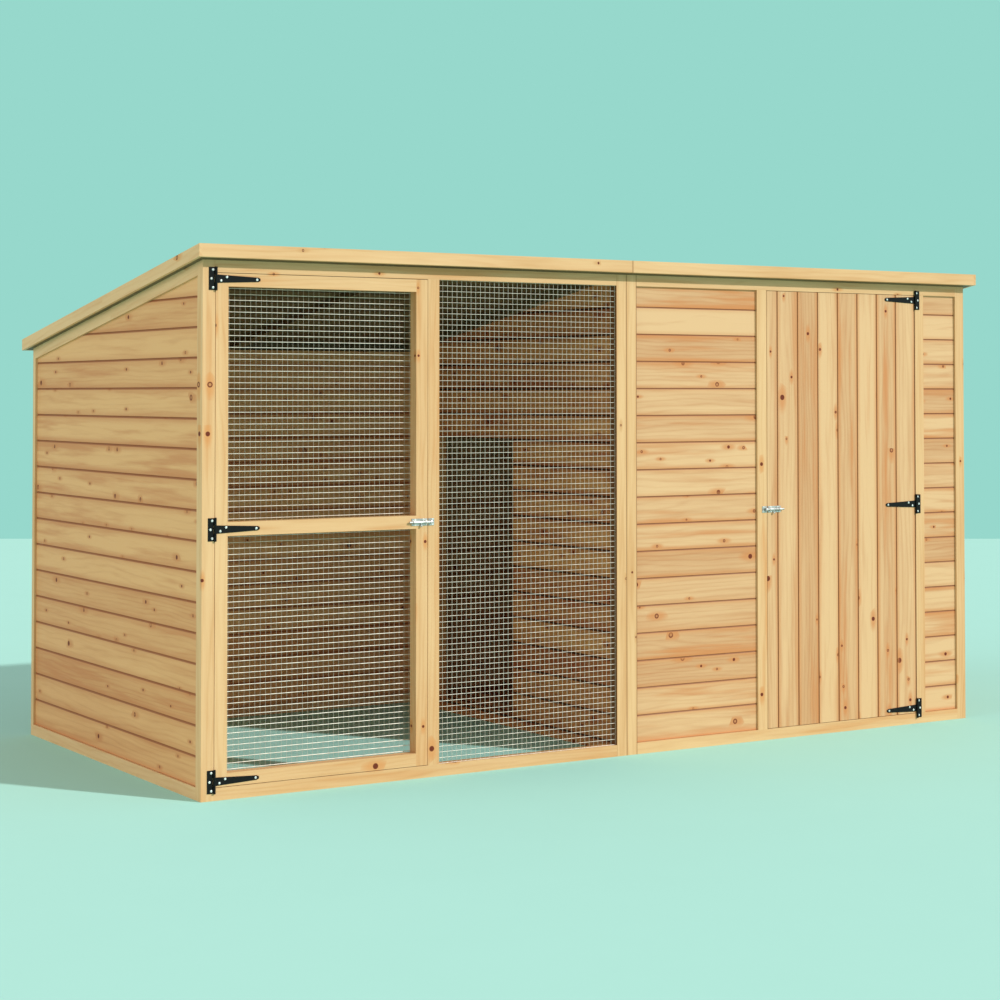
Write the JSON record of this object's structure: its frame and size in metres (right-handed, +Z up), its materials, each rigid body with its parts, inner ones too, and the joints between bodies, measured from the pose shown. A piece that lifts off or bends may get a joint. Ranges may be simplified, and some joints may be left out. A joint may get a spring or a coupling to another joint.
{
  "type": "dog kennel",
  "caption": "Timber dog kennel with an attached mesh run, a pent roof, two hinged front doors with sliding bolts, and a doorway between run and kennel.",
  "frame": {"origin": "on the ground, under the middle of the roof", "axes": "+X along the front from the run to the kennel, +Y from the front to the back, +Z up"},
  "size_m": [3.666, 1.81, 1.9283],
  "materials": {
    "frame_timber": "planed softwood, clear",
    "stud_timber": "sawn softwood",
    "front_boards": "planed softwood boards, clear",
    "wall_boards": "planed softwood boards, clear",
    "partition_boards": "planed softwood boards",
    "floor_timber": "planed softwood boards",
    "roof_timber": "sawn softwood boards",
    "roof_edge": "planed softwood, clear",
    "felt": "mineral roofing felt",
    "door_timber": "planed softwood, clear",
    "door_boards": "planed softwood boards, clear",
    "door_ledges": "planed softwood",
    "mesh_steel": "galvanised welded mesh",
    "hinge_black": "black powder coat",
    "screw_steel": "bright zinc",
    "bolt_steel": "bright zinc"
  },
  "bodies": {
    "kennel": {"back_cladding": "wall_boards", "back_posts": "frame_timber", "back_rails": "frame_timber", "bolt_keeps": "bolt_steel", "end_wall_studs": "stud_timber", "floor_bearers": "stud_timber", "floor_boards": "floor_timber", "frame_screws": "screw_steel", "hinge_crossplates": "hinge_black", "hinge_pins": "hinge_black", "kennel_header": "frame_timber", "kennel_left_jamb": "frame_timber", "kennel_left_post": "frame_timber", "kennel_narrow_cladding": "front_boards", "kennel_right_jamb": "frame_timber", "kennel_right_post": "frame_timber", "kennel_roof_boards": "roof_timber", "kennel_sill": "frame_timber", "kennel_wide_cladding": "front_boards", "left_end_bottom_rail": "frame_timber", "left_end_cladding": "wall_boards", "left_end_top_rail": "frame_timber", "partition_back_boards": "partition_boards", "partition_foot_board": "partition_boards", "partition_front_boards": "partition_boards", "partition_rails": "frame_timber", "partition_studs": "stud_timber", "partition_top_boards": "partition_boards", "right_end_bottom_rail": "frame_timber", "right_end_cladding": "wall_boards", "right_end_top_rail": "frame_timber", "roof_barge_boards": "roof_edge", "roof_eaves_battens": "stud_timber", "roof_fascias": "roof_edge", "roof_felt": "felt", "roof_rafters": "stud_timber", "run_fixed_mesh": "mesh_steel", "run_header": "frame_timber", "run_left_post": "frame_timber", "run_mullion": "frame_timber", "run_right_post": "frame_timber", "run_roof_boards": "roof_timber", "run_sill": "frame_timber"},
    "run_door": {"run_door_hinge_stile": "door_timber", "run_door_lock_stile": "door_timber", "run_door_top_rail": "door_timber", "run_door_middle_rail": "door_timber", "run_door_bottom_rail": "door_timber", "run_door_mesh": "mesh_steel", "run_hinge_straps": "hinge_black", "run_door_screws": "screw_steel", "run_bolt_plate": "bolt_steel"},
    "run_bolt": {"run_bolt_shaft": "bolt_steel"},
    "kennel_door": {"kennel_door_boards": "door_boards", "kennel_door_ledges": "door_ledges", "kennel_door_braces": "door_ledges", "kennel_hinge_straps": "hinge_black", "kennel_door_screws": "screw_steel", "kennel_bolt_plate": "bolt_steel"},
    "kennel_bolt": {"kennel_bolt_shaft": "bolt_steel"}
  },
  "joints": [
    {"name": "run_door_hinge", "type": "hinge", "parent": "kennel", "child": "run_door", "pos_m": [-1.751, -0.865, 0.937], "axis": [0, 0, -1], "range_deg": [0, 170]},
    {"name": "kennel_door_hinge", "type": "hinge", "parent": "kennel", "child": "kennel_door", "pos_m": [1.516, -0.865, 0.937], "axis": [0, 0, 1], "range_deg": [0, 170]},
    {"name": "run_bolt_slide", "type": "slide", "parent": "run_door", "child": "run_bolt", "axis": [1, 0, 0], "range_m": [-0.008, 0.014]},
    {"name": "kennel_bolt_slide", "type": "slide", "parent": "kennel_door", "child": "kennel_bolt", "axis": [-1, 0, 0], "range_m": [-0.008, 0.014]}
  ]
}
